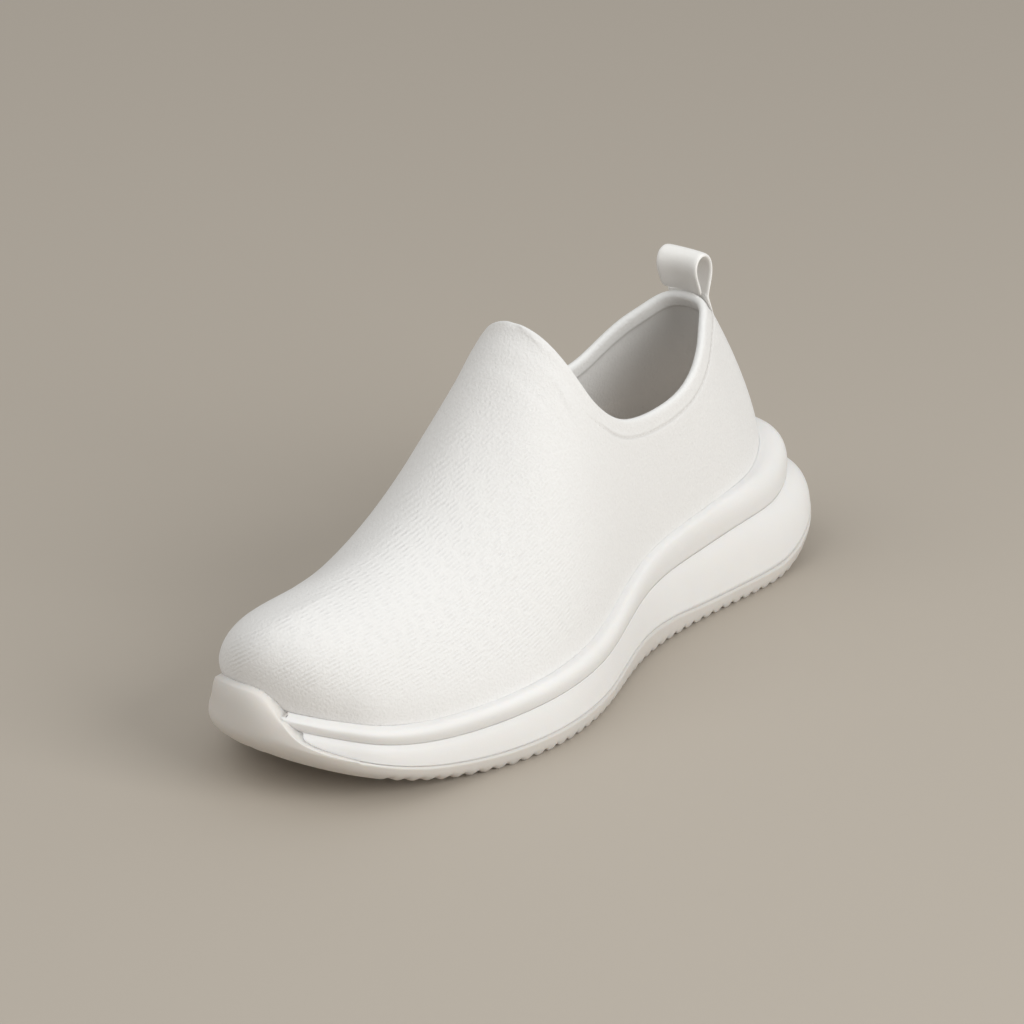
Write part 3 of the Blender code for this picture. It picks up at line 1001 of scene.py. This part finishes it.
@dataclass
class CollarStitches:
    """Small stitches along the collar's seam, on the outside."""

    upper: Upper
    dressed: bpy.types.Object
    pitch: float = 0.0026
    length: float = 0.0016
    radius: float = 0.00018
    sink: float = 0.00005
    search_above: float = 0.065
    middle: float = 0.035
    window: int = 5
    finish: ClothFinish = ClothFinish("seam_thread", rgb(0.84, 0.83, 0.81), rgb(0.76, 0.74, 0.72))

    def line(self, wall: Wall) -> list[tuple[Vector, Vector]]:
        """Find the seam line on one face of the wall.

        Args:
            wall: Which face.

        Returns:
            Points and surface directions, in order round the collar.
        """
        tree = self.upper.rim_tree()
        build = bmesh.new()
        build.from_mesh(self.dressed.data)
        build.normal_update()
        high = [v for v in build.verts if v.co.z > self.search_above]
        past = {v: tree.find(v.co)[2] - self.upper.finish.seam_drop for v in high}
        found = []
        for edge in build.edges:
            first, second = edge.verts
            if first not in past or second not in past or past[first] * past[second] > 0.0:
                continue
            step = past[first] - past[second]
            share = past[first] / step if step else 0.5
            point = first.co.lerp(second.co, share)
            normal = first.normal.lerp(second.normal, share).normalized()
            if self.upper.inside(point, normal) == (wall is Wall.INNER):
                found.append((math.atan2(point.y, point.x - self.middle), point, normal))
        build.free()
        found.sort(key=lambda item: item[0])
        return [(point, normal) for _, point, normal in found]

    def evenly(self, line: list[tuple[Vector, Vector]]) -> list[tuple[Vector, Vector, Vector]]:
        """Walk round a line in even steps.

        Args:
            line: Points with surface directions.

        Returns:
            Point, direction along the line and surface direction of each stitch.
        """
        points = np.array([point for point, _ in line] + [line[0][0]])
        normals = np.array([normal for _, normal in line] + [line[0][1]])
        kernel = np.ones(self.window) / self.window
        wrapped = np.concatenate([points[-self.window : -1], points[:-1], points[: self.window]])
        smooth = np.stack([np.convolve(column, kernel, "same") for column in wrapped.T], axis=1)
        points = smooth[self.window - 1 : self.window - 1 + len(points)]
        lengths = np.linalg.norm(np.diff(points, axis=0), axis=1)
        way = np.concatenate([[0.0], np.cumsum(lengths)])
        at = np.linspace(0.0, way[-1], int(way[-1] / self.pitch), endpoint=False)
        spots = np.stack([np.interp(at, way, column) for column in points.T], axis=1)
        looks = np.stack([np.interp(at, way, column) for column in normals.T], axis=1)
        ahead = np.roll(spots, -1, axis=0) - np.roll(spots, 1, axis=0)
        rows = zip(spots, ahead, looks)
        return [(Vector(s), Vector(a).normalized(), Vector(n).normalized()) for s, a, n in rows]

    def make(self) -> bpy.types.Object:
        """Sew the line.

        Returns:
            The finished object.
        """
        build = bmesh.new()
        for spot, ahead, out in self.evenly(self.line(Wall.OUTER)):
            if spot.x > self.upper.finish.seam_ends[1]:
                continue
            side = ahead.cross(out).normalized()
            turn = Matrix((ahead, side, out)).transposed().to_4x4()
            size = Matrix.Diagonal((self.length / 2, self.radius, self.radius, 1.0))
            place = Matrix.Translation(spot - out * self.sink) @ turn @ size
            bmesh.ops.create_icosphere(build, subdivisions=2, radius=1.0, matrix=place)
        bmesh.ops.recalc_face_normals(build, faces=build.faces)
        mesh = bpy.data.meshes.new("collar_stitches")
        build.to_mesh(mesh)
        build.free()
        mesh.materials.append(self.finish.make())
        return dress("collar_stitches", mesh, "upper", False)


@dataclass(frozen=True)
class Lamp:
    """A soft square light."""

    name: str
    place: tuple
    size: float
    power: float
    colour: tuple = (0.99, 1.0, 0.99)


@dataclass
class Studio:
    """Pale floor, soft lights and the camera."""

    turn: float = 36.9
    height: float = 24.47
    distance: float = 1.7536
    look_at: tuple = (0.09147, -0.00183, 0.05743)
    focal_pixels: float = 4912.27
    sensor: float = 36.0
    pixels: float = 1024.0
    far: float = 30.0
    floor_half: float = 4.0
    floor_colour: tuple = rgb(0.47, 0.42, 0.36)
    floor_roughness: float = 0.8
    lamps: tuple = (
        Lamp("key", (0.20, 1.70, 0.95), 1.2, 22.2),
        Lamp("fill", (1.25, -0.60, 1.75), 1.6, 9.0),
    )
    sky_colour: tuple = rgb(1.0, 1.0, 0.985)
    sky: tuple = (0.0, 0.60, 0.09, 0.60)

    def camera(self) -> None:
        """Set the camera as the photograph was taken."""
        turn, height = math.radians(self.turn), math.radians(self.height)
        level = math.cos(height)
        out = Vector((math.cos(turn) * level, math.sin(turn) * level, math.sin(height)))
        data = bpy.data.cameras.new("camera")
        data.lens = self.focal_pixels * self.sensor / self.pixels
        data.sensor_width = self.sensor
        data.clip_end = self.far
        made = bpy.data.objects.new("camera", data)
        made.location = Vector(self.look_at) + out * self.distance
        made.rotation_euler = out.to_track_quat("Z", "Y").to_euler()
        bpy.context.scene.collection.objects.link(made)
        bpy.context.scene.camera = made

    def floor(self) -> None:
        """Lay a plain pale floor."""
        build = bmesh.new()
        bmesh.ops.create_grid(build, x_segments=1, y_segments=1, size=self.floor_half)
        mesh = bpy.data.meshes.new("floor")
        build.to_mesh(mesh)
        build.free()
        shader = Shader("pale_floor", self.floor_roughness)
        shader.colour(self.floor_colour)
        mesh.materials.append(shader.material)
        made = bpy.data.objects.new("floor", mesh)
        bpy.context.scene.collection.objects.link(made)

    def light(self, lamp: Lamp) -> None:
        """Hang one soft light that looks at the shoe.

        Args:
            lamp: The light.
        """
        data = bpy.data.lights.new(lamp.name, "AREA")
        data.size = lamp.size
        data.energy = lamp.power
        data.color = lamp.colour
        made = bpy.data.objects.new(lamp.name, data)
        made.location = lamp.place
        out = Vector(lamp.place) - Vector(self.look_at)
        made.rotation_euler = out.to_track_quat("Z", "Y").to_euler()
        bpy.context.scene.collection.objects.link(made)

    def surroundings(self) -> None:
        """Light the shoe from all round, more from above than from below."""
        world = bpy.data.worlds.new("studio")
        world.use_nodes = True
        nodes, links = world.node_tree.nodes, world.node_tree.links
        background = nodes["Background"]
        background.inputs["Color"].default_value = self.sky_colour
        split = nodes.new("ShaderNodeSeparateXYZ")
        links.new(nodes.new("ShaderNodeTexCoord").outputs["Object"], split.inputs[0])
        rise = nodes.new("ShaderNodeMapRange")
        rise.interpolation_type = "SMOOTHSTEP"
        links.new(split.outputs[2], rise.inputs[0])
        for socket, value in zip(list(rise.inputs)[1:5], self.sky):
            socket.default_value = value
        links.new(rise.outputs[0], background.inputs["Strength"])
        bpy.context.scene.world = world

    def make(self) -> None:
        """Set up the whole studio."""
        self.camera()
        self.floor()
        for lamp in self.lamps:
            self.light(lamp)
        self.surroundings()
        bpy.context.scene.view_settings.view_transform = "Standard"


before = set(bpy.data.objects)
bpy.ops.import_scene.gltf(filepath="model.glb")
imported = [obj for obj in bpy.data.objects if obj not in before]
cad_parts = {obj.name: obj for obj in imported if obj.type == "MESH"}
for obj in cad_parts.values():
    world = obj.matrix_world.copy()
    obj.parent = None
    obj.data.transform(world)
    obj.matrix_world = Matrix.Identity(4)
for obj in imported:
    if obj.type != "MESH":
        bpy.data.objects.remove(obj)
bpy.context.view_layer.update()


def main() -> None:
    """Build every piece, then the studio; each piece's face count is logged."""
    logging.basicConfig(level=logging.INFO)
    upper = Upper("upper", KnitFinish(), **NO_CREASES)
    dressed = upper.make()
    CollarStitches(upper, dressed).make()
    foam = Snug("foam_rim", FoamFinish("upper_foam"), holds=(dressed,)).make()
    lower = Snug("midsole", FoamFinish("lower_foam"), holds=(foam,), near=0.0007, reach=0.0016)
    midsole = lower.make()
    outsole = Snug("outsole", RubberFinish(), crease_angle=70.0, near=0.0018, reach=0.0024)
    outsole.holds = (dressed, foam)
    outsole.beds = (dressed, foam, midsole)
    outsole.make()
    insole_cloth = ClothFinish("insole_cloth", rgb(0.55, 0.51, 0.47), rgb(0.47, 0.43, 0.39))
    Smoothed("insole", insole_cloth).make()
    loop = PullLoop("pull_loop", WebbingFinish(), levels=3, upper=upper, dressed=dressed, **NO_CREASES)
    loop.make()
    Studio().make()


if __name__ == "__main__":
    main()
